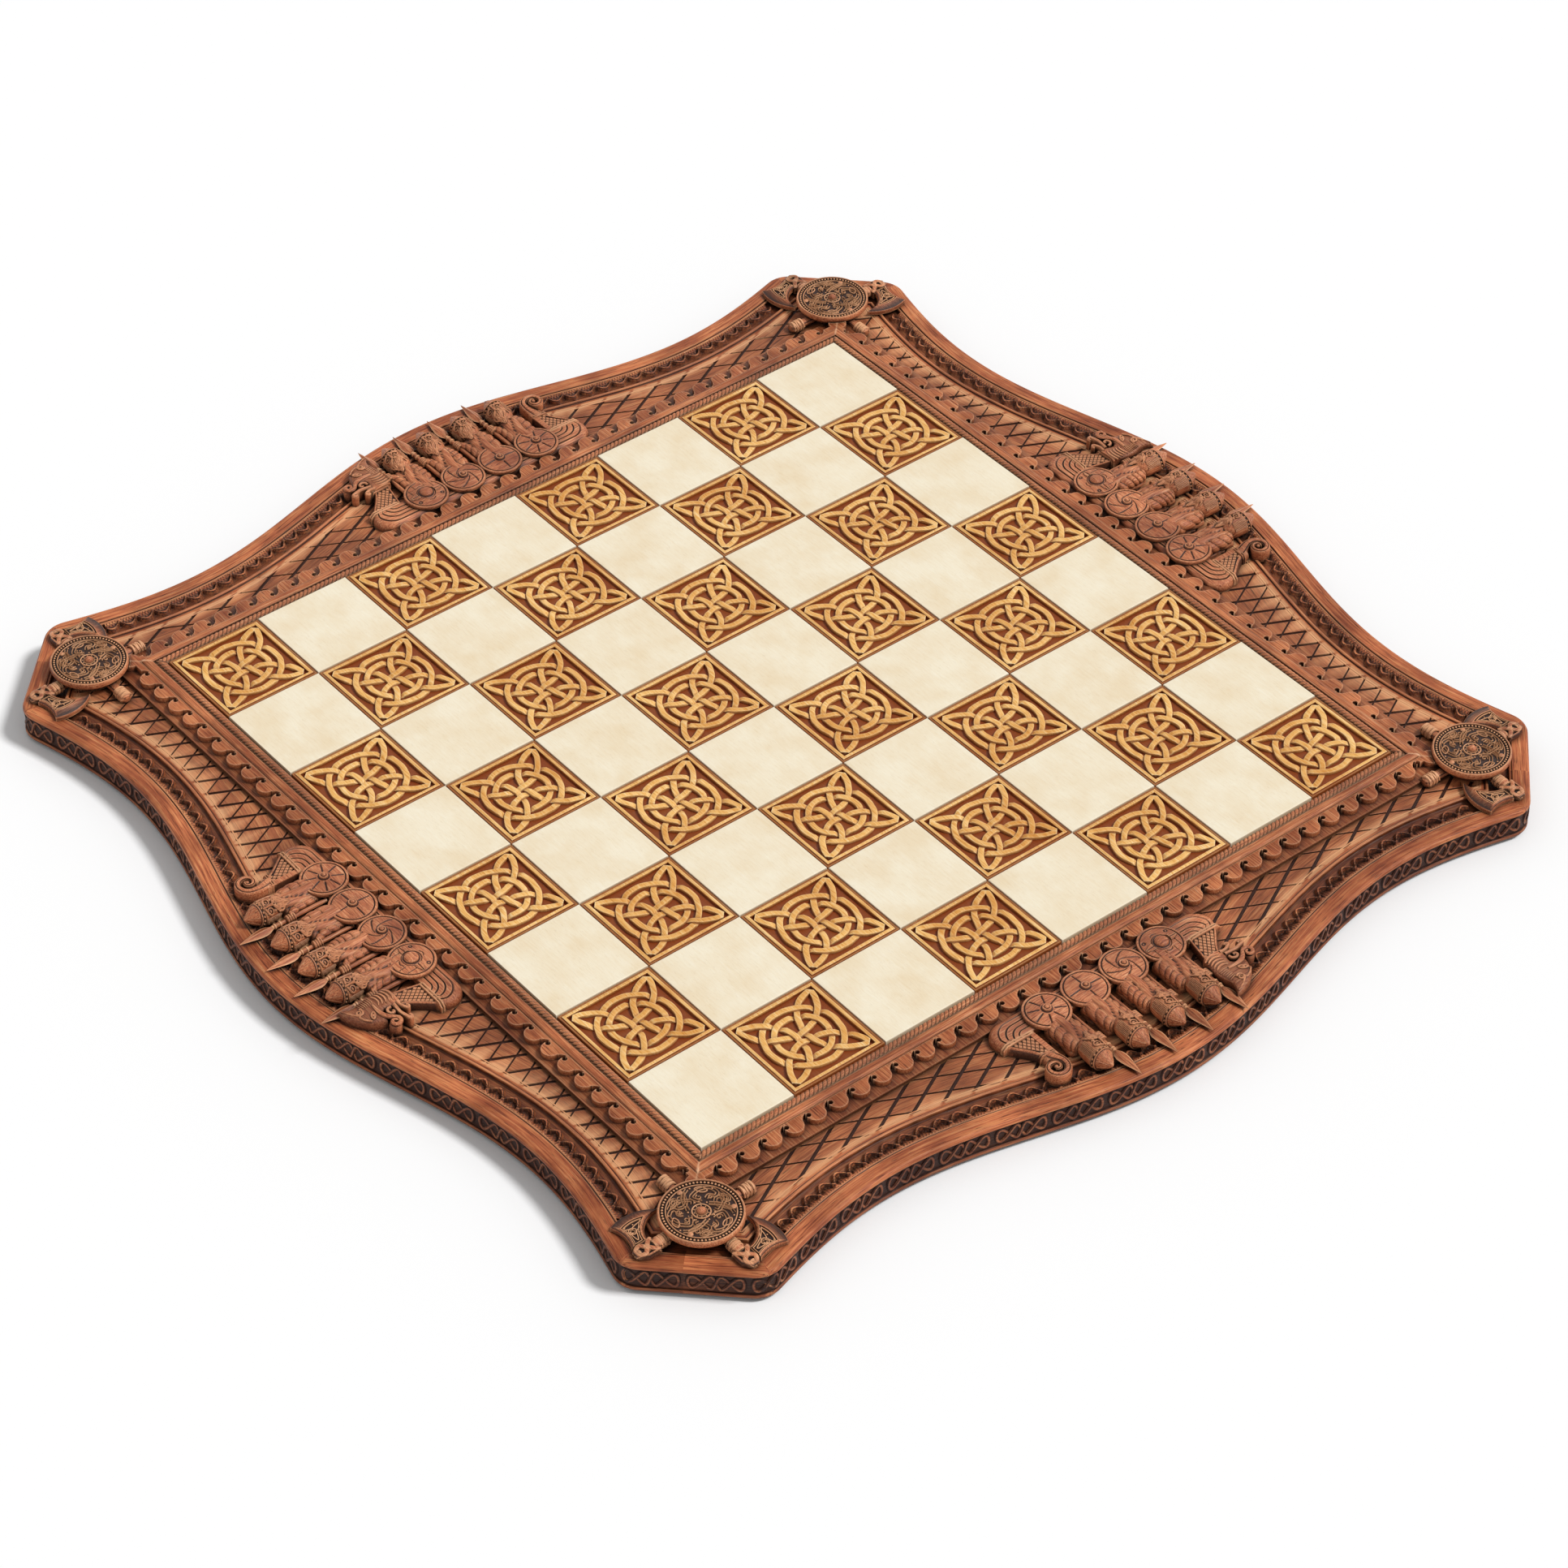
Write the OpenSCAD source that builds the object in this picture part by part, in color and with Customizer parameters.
/* [Playing field] */
// Pitch of the squares
square = 50; // [42:1:60]
// Thickness of a tile
tile_t = 6; // [5:0.5:8]
// Open joint between two tiles
tile_gap = 0.5; // [0.2:0.1:1]
// Depth of the sunk ground in a carved tile
carve_depth = 1.6; // [0.8:0.1:2.4]
// Plain lip outside the strap that frames a knot
knot_lip = 1; // [0.5:0.1:2]
// Width of the square strap that frames a knot
knot_frame_w = 2.4; // [1.5:0.1:3]
// Width of the strap that the knot is made of
strap_w = 2.9; // [2:0.1:3.4]
// Radius of the knot's inner ring, on its middle line
knot_inner_r = 12.4; // [11.5:0.1:13]
// Radius of the knot's outer ring, on its middle line
knot_outer_r = 17.6; // [17:0.1:18.5]
// Radius of the four side loops, on their middle line
knot_loop_r = 20.4; // [19:0.1:21]
// Distance of a side loop's centre from the edge of its square
knot_loop_in = 2.3; // [1:0.1:5]
// Distance of the knot's four points from the edge of its square
knot_point_in = 5; // [4.5:0.1:7]

/* [Base panel] */
// Thickness of the base panel
panel_t = 14.2; // [13.8:0.1:15]
// Thickness of the tongue round the panel
tongue_t = 4; // [3:0.5:5]
// Reach of the tongue into the rails
tongue_w = 6; // [4:0.5:8]
// Play of the tongue in its groove, each way
tongue_gap = 0.15; // [0.1:0.05:0.3]
// Length of the tongue left off at each corner
tongue_stop = 14; // [10:1:20]
// Thickness of a felt pad
pad_t = 2; // [1:0.5:4]
// Diameter of a felt pad
pad_d = 22; // [14:1:30]
// Distance of the corner pads from the field's corner, along both sides
pad_in = 8; // [4:1:30]
// Distance of the middle pads from the edge of the field
mid_pad_out = 36; // [31:1:44]

/* [Rope moulding] */
// Gap between the field and the rope moulding
rope_gap = 0.4; // [0.2:0.1:0.8]
// Width of the rope bead
rope_w = 4; // [3:0.25:5]
// Height of the rope's crown over the tiles
rope_rise = 0.4; // [0:0.1:1]
// Width of the sunk line between the rope and the step
quirk_w = 0.5; // [0.3:0.1:1]
// Width of the plain step outside the rope
step_w = 4.4; // [3.6:0.1:5]
// Drop of the step below the tiles
step_drop = 0.4; // [0:0.1:1.5]
// Radius of the step's outer edge
step_r = 1.2; // [0.5:0.1:2]

/* [Wave fret] */
// Width of the fret, from the step to the ledge
fret_w = 10.2; // [9.5:0.1:12]
// Height of the fret's ground over the base panel
fret_ground_h = 1.6; // [1:0.1:2.5]
// Height of the raised waves over their ground
fret_rise = 3.1; // [1:0.1:3.4]
// Distance from one wave to the next
fret_pitch = 11.9; // [11.2:0.1:13]
// Radius of a wave's rounded lobe
lobe_r = 4.5; // [4:0.1:4.6]
// Radius of the curl that is cut behind a lobe
curl_r = 4.4; // [4:0.1:4.8]
// Radius of the eye at the end of a curl
eye_r = 1.2; // [0.8:0.1:1.4]

/* [Border] */
// Distance from the field's edge to the middle line of the outer wave
border_mid = 67.3; // [66:0.1:70]
// Height of the outer wave to each side of its middle line
wave_amp = 13.4; // [11:0.1:14]
// Distance from the end of the field to the hollow's deepest point
hollow_in = 49.5; // [44:0.5:54]
// Turn of the carved border against the squares, in degrees
border_turn = 0.8; // [0:0.1:1]
// Distance from the field's corner to the flat face of the corner
corner_reach = 63; // [61:0.5:66]
// Radius of the rounded turns beside that face
corner_r = 13; // [8:1:16]
// Height of the rim over the underside
rim_h = 14.5; // [14.1:0.1:15]
// Width of the flat rim
rim_w = 9.5; // [8.5:0.1:10]
// Width of the channel for the ribbon
channel_w = 9.5; // [8.5:0.1:10]
// Depth of that channel below the rim
channel_depth = 2.2; // [1:0.1:3]
// Width of the narrow fillet inside the channel
fillet_w = 1.4; // [1:0.1:2]
// Width of the low band inside the fillet
band_w = 4.4; // [3.4:0.1:5]
// Drop of the low band below the rim
band_drop = 0.7; // [0.4:0.1:1]
// Drop of the lattice floor below the rim
floor_drop = 1.2; // [1.1:0.1:1.8]
// Width of the plain lines above and below the braided side band
edge_line_h = 1.8; // [1:0.1:3]
// Depth of the ground of the braided side band
edge_depth = 0.8; // [0.4:0.1:1.2]

/* [Ribbon] */
// Distance from one fold of the ribbon to the next
ribbon_pitch = 8.2; // [7:0.1:10]
// Height of the ribbon's wave to each side of its middle line
ribbon_amp = 1.3; // [0.8:0.1:1.6]
// Width of the ribbon
ribbon_w = 1.5; // [1:0.1:2]
// Height of the ribbon over the channel
ribbon_h = 1.6; // [1:0.1:2]
// Where the ribbon starts, from the middle of a side
ribbon_from = 70; // [68:1:80]

/* [Corner shields] */
// Distance of a corner shield's centre from both sides of the field
shield_out = 25.6; // [25:0.1:27]
// Radius of a corner shield
corner_shield_r = 18.3; // [17:0.1:19.5]
// Thickness of a corner shield
corner_shield_t = 3; // [2.8:0.1:4]
// Height of its raised rim
shield_rim_h = 0.8; // [0.4:0.1:1]
// Width of its raised rim
shield_rim_w = 2.2; // [1.5:0.1:3]
// Radius of the ring round its boss
boss_ring_r = 4.3; // [3.5:0.1:5]
// Radius of its central dome
boss_r = 2.4; // [2.3:0.1:2.8]
// Height of that dome
boss_h = 2.3; // [1:0.1:2.3]
// Radius of a small stud
stud_r = 1.5; // [1:0.1:2]
// Distance of the studs from the centre
stud_ring_r = 13.6; // [12:0.1:14.5]

/* [Crossed axes] */
// Radius of an axe's handle
handle_r = 2.4; // [2:0.1:2.6]
// Shift of a handle from the shield's centre towards its blade
handle_shift = 1.5; // [1:0.1:1.8]
// Length of a handle from the crossing to its end
handle_tail = 29; // [28:0.5:31]
// Radius of the wrapped knob on its end
knob_r = 3.2; // [2.8:0.1:3.4]
// Length of that knob
knob_len = 8; // [6:0.5:9]
// Distance from the crossing to the axe's head
head_from = 22.8; // [22:0.1:24]
// Width of the head's socket along the handle
head_w = 9.4; // [8.5:0.1:10]
// Half of the socket's height across the handle
head_half = 4.2; // [3.6:0.1:4.6]
// Distance of the cutting edge's centre from the crossing, along the handle
edge_along = 24.2; // [23.6:0.1:26]
// Distance of that centre from the crossing, across the handle
edge_across = 1.6; // [1:0.1:3]
// Radius of the curved cutting edge
blade_edge_r = 19.8; // [19:0.1:22]
// Width of the beard's cut end
beard_w = 4.6; // [3.5:0.1:6]
// Radius of the hollow between beard and socket
beard_r = 13; // [11:0.5:16]
// Radius of the hollow on the blade's outer side
heel_r = 16; // [13:0.5:20]
// Thickness of an axe's head
head_t = 3.4; // [2.6:0.1:3.8]
// Radius of the round seat where the handles cross
hub_r = 13; // [12.5:0.1:14]

/* [Longships] */
// Half of the hull's length
hull_half = 63; // [61:0.5:64]
// Distance from the field's edge to the keel
keel_out = 18.2; // [18:0.1:19]
// Distance from the keel to the gunwale
hull_w = 14.4; // [13.5:0.1:15]
// Radius of the hull's round ends at the keel
hull_r = 9; // [7:0.5:12]
// Distance from the keel to the ends of the two posts
post_out = 30; // [29:0.5:31]
// Distance from the middle to a post's inner edge
post_in = 45; // [44:0.5:46]
// Width of the stern post at its end
post_w = 7.6; // [6:0.1:9]
// Width of the bow post at its end
bow_w = 9.6; // [8:0.1:11]
// Lean of the bow post's end towards the middle
bow_lean = 3.4; // [2:0.1:4]
// Height of the hull's top over the lattice floor
hull_rise = 5; // [4:0.1:5.6]
// Extra height of the scroll and the dragon's head
head_rise = 1.8; // [1:0.1:2.4]
// Radius of the scroll on the stern
scroll_r = 8; // [7:0.1:8.6]
// Radius of the scroll's eye
scroll_eye_r = 1.9; // [1.5:0.1:2.6]
// Length of the dragon's head from the post to its snout
dragon_len = 23.6; // [20:0.1:25]

/* [Crew] */
// Warriors, shields and spears on a ship
crew = 4; // [2:1:4]
// Distance from one warrior to the next
crew_pitch = 20.7; // [20.4:0.1:21.4]
// Shift of the crew from the middle of its side
crew_shift = -2.4; // [-3:0.1:-2]
// Height of a body's axis over the lattice floor
body_lift = 0.7; // [0:0.1:1.5]
// Height of a helmet's axis over the lattice floor
helmet_lift = 4.8; // [2:0.1:5.4]
// Upward tilt of a helmet, in degrees
helmet_tilt = 8; // [0:1:10]
// Radius of a warrior's body
body_r = 7.1; // [6:0.1:7.4]
// Length of a body beyond the gunwale
body_len = 20.5; // [18:0.5:21]
// Length of face and beard between body and helmet
face_len = 8.2; // [7:0.1:9]
// Radius of a warrior's head
face_r = 5.4; // [4.8:0.1:5.8]
// Radius of a helmet at its band
helmet_r = 6; // [5.4:0.1:6.6]
// Length of the helmet's band
helmet_band_w = 2.4; // [1.5:0.1:3]
// Length of the helmet's cone
helmet_len = 7.2; // [6:0.1:9]
// Radius of a shield on the gunwale
shield_r = 11; // [10:0.1:11]
// Distance from one of those shields to the next
shield_pitch = 22.1; // [22.1:0.1:23]
// Shift of those shields from the middle of their side
shield_shift = -0.4; // [-1:0.1:1]
// Distance from the keel to the shields' centres
shield_in = 9.6; // [9.2:0.1:10]
// Thickness of a shield at its rim
shield_t = 1.9; // [1.2:0.1:2.4]
// Radius of a shield's boss
shield_boss_r = 2.6; // [1.5:0.1:3]
// Distance of a spear from its warrior
spear_off = 8.8; // [8.6:0.1:10.6]
// Radius of a spear's shaft
spear_r = 1.1; // [0.8:0.1:1.2]
// Length of a spear's shaft beyond the gunwale
spear_len = 28; // [26:0.5:29]
// Length of a spear's leaf blade
leaf_len = 17; // [14:0.5:18]
// Width of that blade
leaf_w = 4.2; // [3:0.1:5]
// Thickness of that blade
leaf_t = 3; // [2:0.1:3.6]

/* [Joinery] */
// Diameter of a corner screw
screw_d = 3.5; // [3:0.1:4]
// Diameter of its countersunk head
screw_head_d = 7; // [6:0.5:8]
// Play between the screw and its hole
screw_gap = 0.2; // [0.1:0.05:0.4]
// Distance of a screw from the mitre
screw_off = 6; // [5:0.5:6.5]
// Reach of a screw into the corner shield
screw_bite = 1.8; // [1:0.1:2.2]
// Thickness of a mitre key
key_t = 3; // [2:0.5:4]
// Length of a mitre key across the joint
key_len = 24; // [16:1:30]
// Width of a mitre key along the joint
key_w = 12; // [8:1:14]
// Play of a key in its slot
key_gap = 0.1; // [0.05:0.05:0.2]
// Distance from the flat corner face to the key
key_in = 5; // [3:0.5:7]

/* [Hidden] */
sides = ["south", "east", "north", "west"];
squares = 8;
field_half = squares * square / 2;
eps = 0.05;
cut = 1;
seat_gap = 0.2;

// Heights, from the surface that the board lies on
under_z = pad_t;
panel_top = under_z + panel_t;
tile_top = panel_top + tile_t;
rim_top = under_z + rim_h;
channel_z = rim_top - channel_depth;
band_z = rim_top - band_drop;
floor_z = rim_top - floor_drop;
tongue_z = under_z + 4;
hull_top = floor_z + hull_rise;
// Underside of the corner shields, on the axes' hubs
shield_z = rim_top + head_t;

// Distances from the middle of the board to the straight mouldings
rope_in = field_half + rope_gap;
step_in = rope_in + rope_w + quirk_w;
fret_in = step_in + step_w;
ledge = fret_in + fret_w;

// Insets of the curved mouldings from the outline
channel_in = rim_w;
fillet_in = channel_in + channel_w;
band_in = fillet_in + fillet_w;
lattice_in = band_in + band_w;

half_wave = field_half - hollow_in;
wave_out = fret_in + 8;
facet_d = field_half * sqrt(2) + corner_reach;
wave_steps = 36;
turn_steps = 4;

// Distance from the middle line of a side to its outer wave, u along the side
function wave_v(u) = field_half + border_mid + wave_amp * cos(180 * u / half_wave);
function wave_slope(u) = -wave_amp * sin(180 * u / half_wave) * PI / half_wave;
// Outward direction at u, as an angle from the side's own outward axis
function wave_turn(u) = atan(-wave_slope(u));
// Point of the outline's parallel at an inset
function edge_point(u, inset) =
    [u - inset * sin(wave_turn(u)), wave_v(u) - inset * cos(wave_turn(u))];
function facet_gap(u, inset, end) =
    let (p = edge_point(u, inset)) (end * p[0] + p[1]) / sqrt(2) - (facet_d - inset);
// Where that parallel meets the parallel of the flat corner face
function meet(inset, end, lo, hi, n = 20) = let (mid = (lo + hi) / 2)
    n == 0 ? mid
    : facet_gap(end * mid, inset, end) > 0 ? meet(inset, end, lo, mid, n - 1)
    : meet(inset, end, mid, hi, n - 1);
function end_u(inset, end) =
    meet(max(inset, corner_r), end, field_half - hollow_in, field_half + border_mid);
// Rounded turn from the wave to the flat face, only outside the turn's centre
function turn_points(inset, end) =
    let (u = end * end_u(inset, end), c = edge_point(u, corner_r), r = corner_r - inset)
    r < 0.5 ? []
    : [for (i = [1 : turn_steps])
        let (a = wave_turn(u) + (end * 45 - wave_turn(u)) * i / turn_steps)
        c + r * [sin(a), cos(a)]];
function reversed(list) = [for (i = [len(list) - 1 : -1 : 0]) list[i]];
// The carved border's own frame, turned against the squares
function turned(points) = [for (p = points)
    [p[0] * cos(border_turn) + p[1] * sin(border_turn),
     p[1] * cos(border_turn) - p[0] * sin(border_turn)]];
// One side's outline at an inset, from its left mitre to its right one
function side_line(inset) =
    let (a = -end_u(inset, -1), b = end_u(inset, 1),
        c = (facet_d - inset) / (sqrt(2) * cos(border_turn)))
    concat([[-c, c]], turned(concat(reversed(turn_points(inset, -1)),
        [for (i = [0 : wave_steps]) edge_point(a + (b - a) * i / wave_steps, inset)],
        turn_points(inset, 1))), [[c, c]]);
// Outward is towards -Y on the south side
function southward(points) = [for (p = points) [p[0], -p[1]]];
// Region of one side between a straight inner line and the outline at an inset
function side_region(inset, inner) =
    southward(concat([[inner, inner], [-inner, inner]], side_line(inset)));

module on_side(name) rotate([0, 0, 90 * search([name], sides)[0]]) children();

// Whole board inside the outline at an inset
module board_area(inset) {
    for (name = sides) on_side(name) polygon(side_region(inset, 1));
    square(4, center = true);
}

// Takes from a carving what the border's raised lines and the ledge fill
module seated() {
    difference() {
        children();
        translate([0, 0, under_z])
            linear_extrude(rim_h) difference() {
                square(4 * field_half, center = true);
                board_area(lattice_in + seat_gap);
            }
        translate([0, 0, under_z])
            linear_extrude(floor_z - under_z) square(4 * field_half, center = true);
        translate([0, 0, under_z])
            linear_extrude(panel_t + fret_ground_h) square(2 * ledge, center = true);
        linear_extrude(2 * tile_top) square(2 * wave_out, center = true);
    }
}

module light_tile() {
    translate([0, 0, panel_top + tile_t / 2])
        cube([square - tile_gap, square - tile_gap, tile_t], center = true);
}

module ring(r, w) {
    difference() {
        circle(r = r + w / 2, $fn = 96);
        circle(r = r - w / 2, $fn = 96);
    }
}

// Four side loops that cross at the knot's points, and two rings through them
module knot() {
    ring(knot_inner_r, strap_w);
    ring(knot_outer_r, strap_w);
    intersection() {
        square(square - 2 * knot_point_in, center = true);
        for (a = [0 : 90 : 270])
            rotate(a) translate([square / 2 - knot_loop_in, 0]) ring(knot_loop_r, strap_w);
    }
}

module carved_tile() {
    frame = square - 2 * knot_lip;
    ground = frame - 2 * knot_frame_w;
    translate([0, 0, panel_top])
        linear_extrude(tile_t - carve_depth) square(square - tile_gap, center = true);
    translate([0, 0, tile_top - carve_depth - eps])
        linear_extrude(carve_depth + eps) {
            difference() {
                square(frame, center = true);
                square(ground, center = true);
            }
            intersection() {
                square(ground + eps, center = true);
                knot();
            }
        }
}

// Squares of one rank, counted from the south, whose sum of places is odd or even
module rank(r, odd) {
    for (f = [1 : squares])
        if ((f + r) % 2 == odd)
            translate([(f - (squares + 1) / 2) * square, (r - (squares + 1) / 2) * square, 0])
                children();
}

module light_tiles(r) color("ivory") rank(r, 1) light_tile();
module carved_tiles(r) color("peru") rank(r, 0) carved_tile();

module base_panel() {
    tongue_half = ledge - tongue_stop;
    color("sienna") {
        translate([0, 0, under_z])
            linear_extrude(panel_t) square(2 * ledge, center = true);
        translate([0, 0, tongue_z])
            for (name = sides)
                on_side(name)
                    translate([-tongue_half, -ledge - tongue_w, 0])
                        cube([2 * tongue_half, tongue_w + cut, tongue_t]);
    }
}

// Straight strip with mitred ends along the south side
module mitred(inner, outer) {
    intersection() {
        rotate([90, 0, 90])
            translate([0, 0, -outer])
                linear_extrude(2 * outer) mirror([1, 0]) children();
        linear_extrude(2 * tile_top)
            polygon([[-inner, -inner], [inner, -inner], [outer, -outer], [-outer, -outer]]);
    }
}

module rope_moulding() {
    crown = tile_top + rope_rise;
    step_top = tile_top - step_drop;
    mitred(rope_in, fret_in) {
        translate([rope_in, panel_top]) square([rope_w, crown - rope_w / 2 - panel_top]);
        translate([rope_in + rope_w / 2, crown - rope_w / 2]) circle(d = rope_w, $fn = 48);
        translate([rope_in, panel_top]) square([fret_in - rope_in, tile_t / 2]);
        translate([step_in, panel_top]) square([step_w - step_r, step_top - panel_top]);
        translate([step_in, panel_top]) square([step_w, step_top - step_r - panel_top]);
        translate([fret_in - step_r, step_top - step_r]) circle(r = step_r, $fn = 48);
    }
}

// Raised plane of the fret: lobes with a curl cut behind each and an eye at its end
module wave_line() {
    count = floor(2 * fret_in / fret_pitch) - 1;
    lobe_y = fret_in + 3.3;
    curl_y = fret_in + 5.2;
    eye_y = fret_in + 2.5;
    difference() {
        union() {
            translate([-lobe_y, -lobe_y]) square([2 * lobe_y, 3.3]);
            for (end = [-1, 1]) translate([end * lobe_y, -lobe_y]) circle(r = lobe_r, $fn = 48);
            for (i = [0 : count - 1])
                translate([(i - (count - 1) / 2) * fret_pitch, -lobe_y])
                    circle(r = lobe_r, $fn = 48);
        }
        for (i = [0 : count])
            translate([(i - count / 2) * fret_pitch, 0]) {
                difference() {
                    translate([2.8, -curl_y]) circle(r = curl_r, $fn = 48);
                    translate([fret_pitch / 2, -lobe_y]) circle(r = lobe_r, $fn = 48);
                }
                translate([2.6, -eye_y]) circle(r = eye_r, $fn = 24);
            }
    }
}

module wave_fret() {
    wave_z = panel_top + fret_ground_h;
    mitred(fret_in, ledge)
        translate([fret_in, panel_top]) square([fret_w, fret_ground_h]);
    difference() {
        intersection() {
            translate([0, 0, wave_z - eps]) linear_extrude(fret_rise + eps) wave_line();
            linear_extrude(2 * tile_top)
                polygon([[-fret_in, -fret_in], [fret_in, -fret_in],
                    [ledge, -ledge], [-ledge, -ledge]]);
        }
        // Seats of the corner shields
        for (end = [-1, 1])
            corner_place(end) translate([0, 0, shield_z])
                cylinder(r = corner_shield_r + seat_gap, h = 10, $fn = 96);
    }
}

// Centre of the carved corner at one end of the south side
module corner_place(end) {
    rotate([0, 0, border_turn])
        translate([end * (field_half + shield_out), -field_half - shield_out, 0])
            children();
}

// Middle line of the ribbon in its channel
function ribbon_point(u, side) =
    edge_point(u, channel_in + channel_w / 2 + side * ribbon_w / 2
        + ribbon_amp * cos(360 * (u - ribbon_from) / ribbon_pitch));

module ribbon(end) {
    last = end_u(fillet_in, end) - 3;
    count = floor((last - ribbon_from) / ribbon_pitch) * 4;
    inner = [for (i = [0 : count]) ribbon_point(end * (ribbon_from + i * ribbon_pitch / 4), 1)];
    outer = [for (i = [0 : count]) ribbon_point(end * (ribbon_from + i * ribbon_pitch / 4), -1)];
    translate([0, 0, channel_z - eps])
        linear_extrude(ribbon_h + eps) polygon(southward(turned(concat(inner, reversed(outer)))));
}

// Screws stand to both sides of a mitre; side is -1 on the left of it
module screw_place(end, side) {
    translate([end * (field_half + shield_out), -field_half - shield_out, 0])
        rotate(end * 45) translate([side * screw_off, 0, 0]) children();
}

module key_slot(end, gap) {
    middle = (facet_d - key_in - key_w / 2) / sqrt(2);
    translate([end * middle, -middle, under_z + 4.5])
        rotate(end * 45)
            cube([key_len + 2 * gap, key_w + 2 * gap, key_t + 2 * gap], center = true);
}

module border_rail() {
    difference() {
        translate([0, 0, under_z]) linear_extrude(rim_h) polygon(side_region(0, ledge));
        // Channel, low band and lattice floor, each along its own parallel
        translate([0, 0, channel_z]) linear_extrude(rim_h) difference() {
            polygon(side_region(channel_in, ledge - cut));
            polygon(side_region(fillet_in, ledge - 2 * cut));
        }
        translate([0, 0, band_z])
            linear_extrude(rim_h) polygon(side_region(band_in, ledge - cut));
        translate([0, 0, floor_z])
            linear_extrude(rim_h) polygon(side_region(lattice_in, ledge - cut));
        // Ground of the braided side band
        translate([0, 0, under_z + edge_line_h])
            linear_extrude(rim_h - 2 * edge_line_h) difference() {
                polygon(side_region(-cut, ledge));
                polygon(side_region(edge_depth, ledge - cut));
            }
        // Groove for the panel's tongue
        translate([-ledge + tongue_stop - tongue_gap, -ledge - tongue_w - tongue_gap,
            tongue_z - tongue_gap])
            cube([2 * (ledge - tongue_stop + tongue_gap), tongue_w + tongue_gap + cut,
                tongue_t + 2 * tongue_gap]);
        for (end = [-1, 1]) {
            key_slot(end, key_gap);
            screw_place(end, -end) screw_hole();
        }
    }
    for (end = [-1, 1]) ribbon(end);
}

// Clearance hole with a countersink from the underside
module screw_hole() {
    translate([0, 0, under_z - cut])
        cylinder(d = screw_d + 2 * screw_gap, h = rim_h + 4, $fn = 32);
    translate([0, 0, under_z - eps])
        cylinder(d1 = screw_head_d + 2 * screw_gap, d2 = screw_d + 2 * screw_gap,
            h = (screw_head_d - screw_d) / 2, $fn = 32);
}

module screw() {
    translate([0, 0, under_z + 0.3]) {
        cylinder(d1 = screw_head_d, d2 = screw_d, h = (screw_head_d - screw_d) / 2, $fn = 32);
        cylinder(d = screw_d, h = shield_z + screw_bite - under_z - 0.3, $fn = 32);
    }
}

module corner_screws()
    color("silver")
        for (name = sides) on_side(name) for (end = [-1, 1]) screw_place(end, -end) screw();

module mitre_keys() color("tan") for (name = sides) on_side(name) key_slot(1, 0);

module felt_pads() {
    color("darkgreen")
        for (name = sides)
            on_side(name) {
                translate([field_half + pad_in, -field_half - pad_in, 0])
                    cylinder(d = pad_d, h = pad_t, $fn = 64);
                translate([0, -field_half - mid_pad_out, 0])
                    cylinder(d = pad_d, h = pad_t, $fn = 64);
            }
}

module corner_shield() {
    top = shield_z + corner_shield_t;
    difference() {
        corner_place(1) {
            translate([0, 0, shield_z])
                cylinder(r = corner_shield_r, h = corner_shield_t, $fn = 96);
            translate([0, 0, top - eps]) linear_extrude(shield_rim_h + eps)
                ring(corner_shield_r - shield_rim_w / 2, shield_rim_w);
            translate([0, 0, top - eps]) linear_extrude(shield_rim_h + eps)
                ring(boss_ring_r - 0.6, 1.2);
            translate([0, 0, top]) dome(boss_r, boss_h);
            for (a = [0 : 120 : 240])
                rotate(a + 62) translate([stud_ring_r, 0, top]) dome(stud_r, 0.9);
        }
        for (s = [-1, 1])
            screw_place(1, s) translate([0, 0, shield_z - cut])
                cylinder(d = screw_d + 0.1, h = screw_bite + 0.3 + cut, $fn = 32);
    }
}

// Shallow round cap of radius r and height h, standing on the ground
module dome(r, h) {
    ball = (r * r + h * h) / (2 * h);
    rotate_extrude($fn = 48)
        intersection() {
            translate([0, h - ball]) circle(r = ball, $fn = 96);
            translate([0, -eps]) square([r, h + 2 * eps]);
        }
}

// Flat head of an axe: socket, blade with a curved edge, a beard and two hollows
module axe_head() {
    head_end = head_from + head_w;
    top = handle_shift + head_half;
    translate([head_from, handle_shift - head_half]) square([head_w, 2 * head_half]);
    difference() {
        intersection() {
            translate([edge_along, edge_across]) circle(r = blade_edge_r, $fn = 128);
            polygon([[head_from, top - 1], [head_from, top],
                [head_from - 9.8, edge_across + blade_edge_r * 0.75 - beard_w],
                [head_from - 12, edge_across + blade_edge_r * 0.75],
                [head_from, edge_across + blade_edge_r + 1],
                [head_end + 2, edge_across + blade_edge_r + 1],
                [head_end + 1.4, edge_across + blade_edge_r * 0.9],
                [head_end, top], [head_end, top - 1]]);
        }
        // Hollow under the beard
        translate([head_from - 11.5, top - 3]) circle(r = beard_r, $fn = 64);
        translate([head_end + heel_r - 2, top + 7]) circle(r = heel_r, $fn = 64);
    }
}

// Axe along +X with its blade towards +Y, the crossing at the origin
module axe() {
    translate([0, handle_shift, 0]) {
        translate([-handle_tail, 0, floor_z + handle_r]) rotate([0, 90, 0]) {
            cylinder(r = handle_r, h = handle_tail + head_from + eps, $fn = 32);
            cylinder(r = knob_r, h = knob_len, $fn = 32);
        }
        // Web that carries the handle down to the floor
        translate([-handle_tail, -handle_r * 0.8, floor_z])
            cube([handle_tail + head_from, handle_r * 1.6, handle_r]);
    }
    translate([0, 0, rim_top]) linear_extrude(head_t) axe_head();
}

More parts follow.
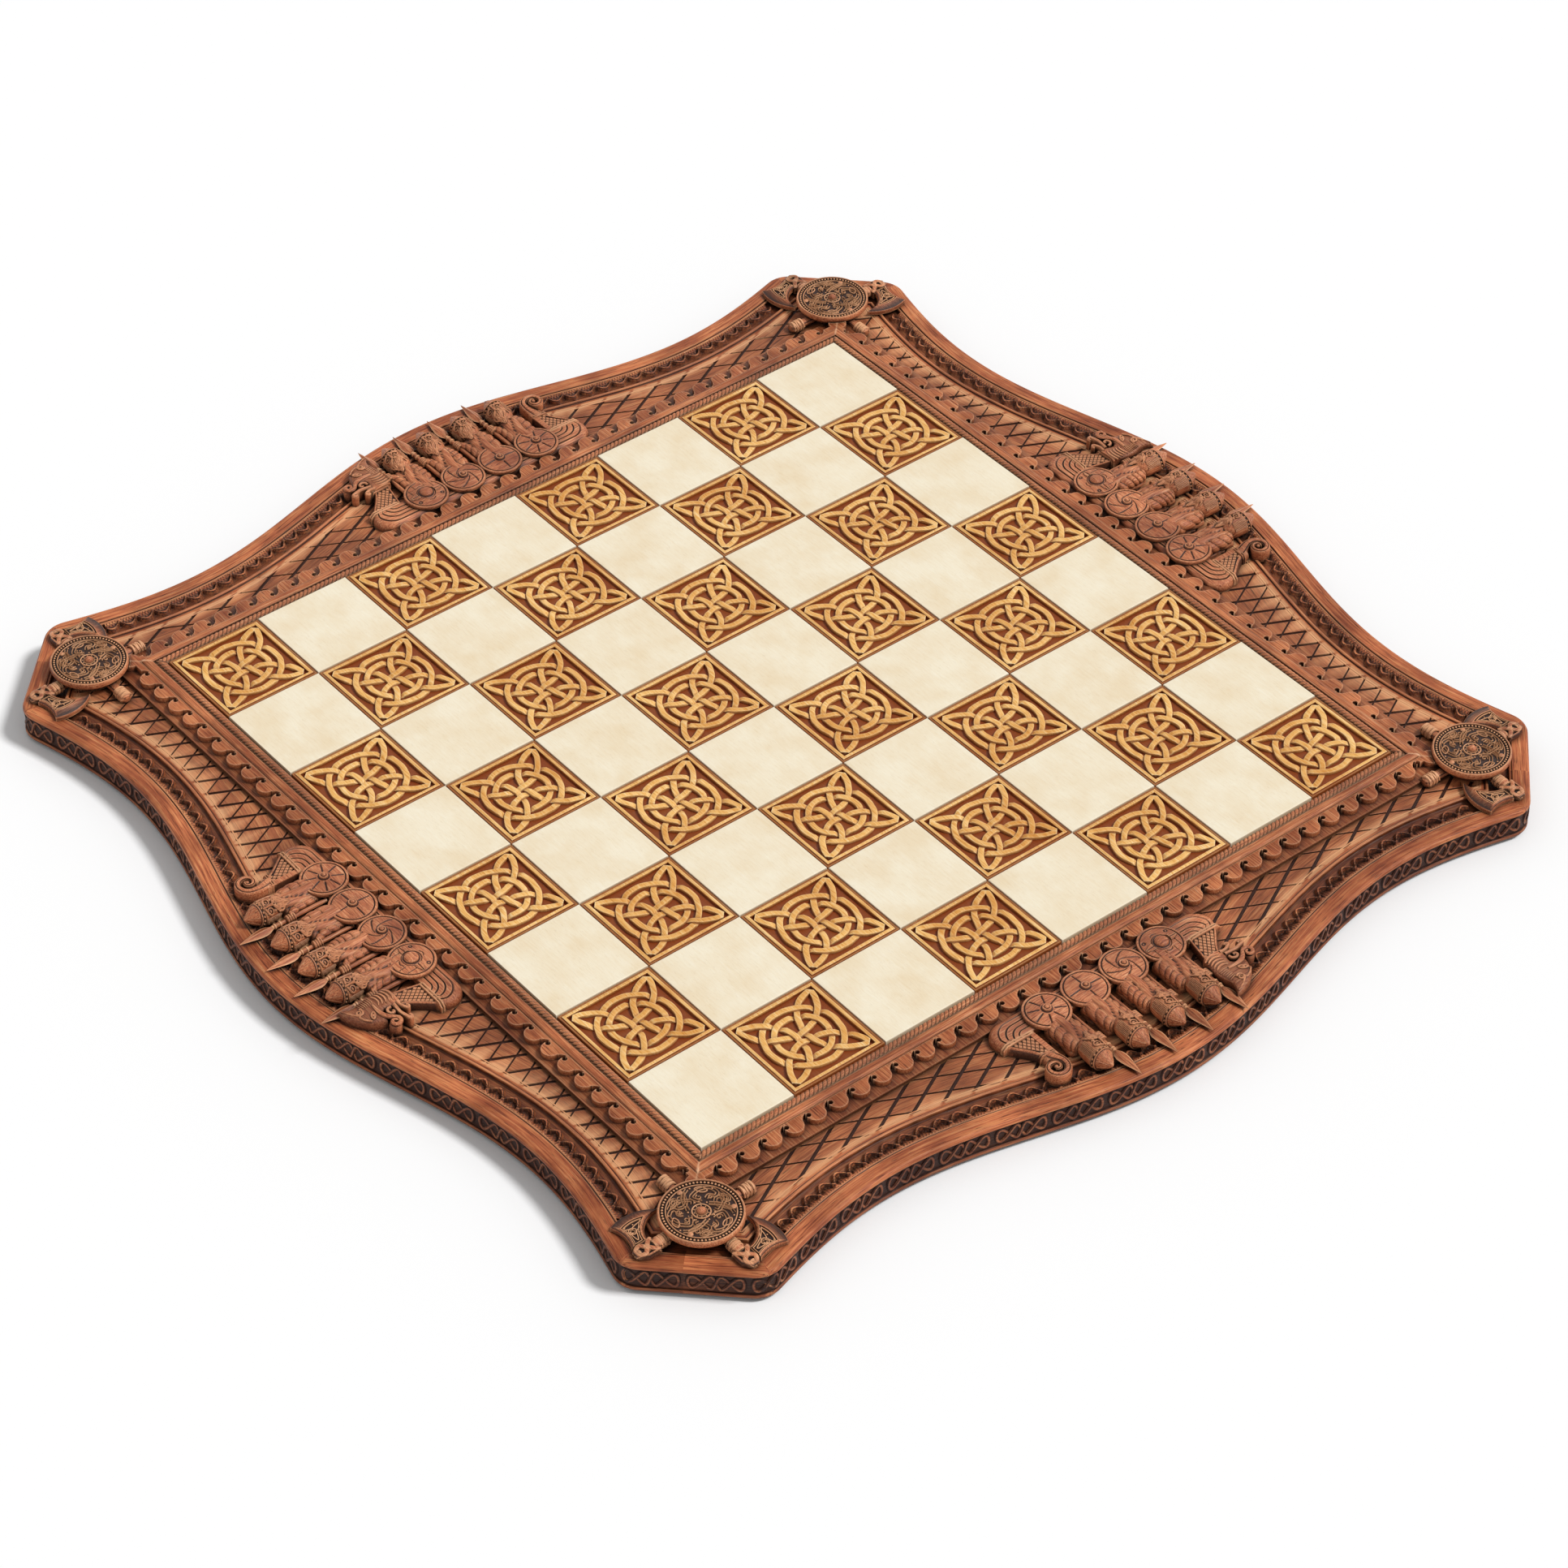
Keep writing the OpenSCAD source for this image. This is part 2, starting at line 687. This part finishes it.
module crossed_axes() {
    seated() difference() {
        corner_place(1) {
            difference() {
                union() {
                    axe();
                    rotate(-90) mirror([0, 1]) axe();
                }
                // Flat top under the shield
                translate([0, 0, shield_z])
                    cylinder(r = corner_shield_r + 0.3, h = corner_shield_t + 5, $fn = 96);
            }
            translate([0, 0, floor_z])
                cylinder(r = hub_r, h = shield_z - floor_z, $fn = 64);
        }
        for (s = [-1, 1])
            screw_place(1, s) translate([0, 0, floor_z - cut])
                cylinder(d = screw_d + 2 * screw_gap, h = shield_z, $fn = 32);
    }
}

// Outline of a longship that lies on its side, keel towards the field
module hull_outline() {
    keel = field_half + keel_out;
    gunwale = keel + hull_w;
    post = keel + post_out;
    mid = hull_half - hull_r;
    translate([-mid, -keel - hull_r]) square([2 * mid, hull_r]);
    translate([-post_in - cut, -gunwale]) square([2 * (post_in + cut), hull_w - hull_r + eps]);
    for (end = [-1, 1]) {
        intersection() {
            translate([end * mid, -keel - hull_r]) circle(r = hull_r, $fn = 96);
            translate([-hull_half - cut, -keel - hull_r])
                square([2 * (hull_half + cut), hull_r + cut]);
        }
        polygon(concat(
            [[end * post_in, -keel - hull_r + eps], [end * post_in, -gunwale],
                [end * post_end(end), -post]],
            [for (i = [12 : -1 : 0]) [end * post_edge(i / 12, end),
                -keel - hull_r - (post_out - hull_r) * i / 12]],
            [[end * hull_half, -keel - hull_r + eps]]));
    }
}

function post_end(end) = end > 0 ? post_in - bow_lean : post_in;
// Outer edge of a post, in one easy curve from the hull's end to the post's end
function post_edge(t, end) =
    hull_half + (post_end(end) + (end > 0 ? bow_w : post_w) - hull_half) * (1 - cos(180 * t)) / 2;

// Dragon's head on the bow post, as shares of its length: neck, crest, gap behind
// the jaw, curled jaw and a snout that bends inwards
module dragon() {
    scale(dragon_len) {
        polygon([[-0.04, 0.09], [0.38, 0.09], [0.54, 0.05], [0.8, -0.02], [0.58, -0.05],
            [0.4, -0.13], [0.47, -0.27], [0.63, -0.2], [0.72, -0.3], [0.61, -0.38],
            [0.55, -0.57], [0.36, -0.77], [0.1, -0.92], [-0.11, -1], [-0.03, -0.8],
            [-0.02, -0.68], [-0.09, -0.52], [-0.1, -0.22]]);
        translate([0.6, 0.03]) circle(r = 0.1, $fn = 32);
        translate([0.74, -0.29]) circle(r = 0.12, $fn = 32);
    }
}

module ship_hull() {
    post = field_half + keel_out + post_out;
    seated()
        translate([0, 0, floor_z]) {
            linear_extrude(hull_rise) hull_outline();
            linear_extrude(hull_rise + head_rise) {
                // Scroll that ends the stern post
                difference() {
                    translate([-post_in - scroll_r + 0.8, -post - scroll_r * 0.85])
                        circle(r = scroll_r, $fn = 64);
                    translate([-post_in - scroll_r + 0.4, -post - scroll_r * 0.55])
                        circle(r = scroll_eye_r, $fn = 32);
                }
                translate([post_in - bow_lean, -post]) dragon();
            }
        }
}

module shield_places() {
    for (i = [0 : crew - 1])
        translate([shield_shift + (i - (crew - 1) / 2) * shield_pitch,
            -field_half - keel_out - shield_in, 0])
            children();
}

// Dished board shield with a rim and a domed boss
module round_shield() {
    translate([0, 0, hull_top]) {
        cylinder(r = shield_r, h = shield_t * 0.6, $fn = 96);
        linear_extrude(shield_t) ring(shield_r - 0.7, 1.4);
        translate([0, 0, shield_t * 0.6]) dome(shield_r - 1.4, 1.2);
        translate([0, 0, shield_t * 0.6 + 1]) dome(shield_boss_r, 2.6);
    }
}

module round_shields() shield_places() round_shield();

module crew_places() {
    for (i = [0 : crew - 1])
        translate([crew_shift + (i - (crew - 1) / 2) * crew_pitch,
            -field_half - keel_out - hull_w - seat_gap, 0])
            children();
}

// Warrior lying on the floor, helmet outwards
module warrior() {
    helmet_z = floor_z + helmet_lift;
    neck = body_len - 1;
    band = neck + face_len + 1;
    translate([0, 0, floor_z + body_lift]) rotate([90, 0, 0])
        cylinder(r = body_r, h = body_len, $fn = 64);
    translate([0, -neck - face_len * 0.45, helmet_z]) sphere(r = face_r, $fn = 48);
    translate([0, -neck + 4, helmet_z - 1]) rotate([90, 0, 0])
        cylinder(r = face_r * 0.8, h = face_len + 6, $fn = 48);
    translate([0, -band, helmet_z]) rotate([90 - helmet_tilt, 0, 0]) {
        cylinder(r = helmet_r, h = helmet_band_w, $fn = 64);
        translate([0, 0, helmet_band_w - eps])
            cylinder(r1 = helmet_r - 0.4, r2 = 0.6, h = helmet_len, $fn = 64);
    }
}

module warriors() {
    seated() difference() {
        crew_places() warrior();
        // Room for the shields that hang over the gunwale
        shield_places() translate([0, 0, hull_top - seat_gap])
            cylinder(r = shield_r + seat_gap, h = 10, $fn = 96);
    }
}

module spear() {
    shaft_z = floor_z + 3;
    translate([0, 0, shaft_z]) rotate([90, 0, 0])
        cylinder(r = spear_r, h = spear_len, $fn = 24);
    translate([-spear_r * 0.7, -spear_len, floor_z]) cube([spear_r * 1.4, spear_len, 3]);
    translate([0, -spear_len, rim_top])
        linear_extrude(leaf_t)
            polygon([[-spear_r, 2], [spear_r, 2], [leaf_w / 2, -leaf_len * 0.45],
                [0, -leaf_len], [-leaf_w / 2, -leaf_len * 0.45]]);
}

module spears() {
    seated() difference() {
        crew_places() translate([spear_off, 0, 0]) spear();
        shield_places() translate([0, 0, hull_top - seat_gap])
            cylinder(r = shield_r + seat_gap, h = 10, $fn = 96);
    }
}

base_panel();
for (name = sides) {
    color("saddlebrown") on_side(name) border_rail();
    color("chocolate") on_side(name) rope_moulding();
    color("sienna") on_side(name) wave_fret();
    color("brown") on_side(name) corner_shield();
    color("sandybrown") on_side(name) crossed_axes();
    color("peru") on_side(name) ship_hull();
    color("brown") on_side(name) round_shields();
    color("sandybrown") on_side(name) warriors();
    color("tan") on_side(name) spears();
}
for (r = [1 : squares]) {
    light_tiles(r);
    carved_tiles(r);
}
mitre_keys();
corner_screws();
felt_pads();
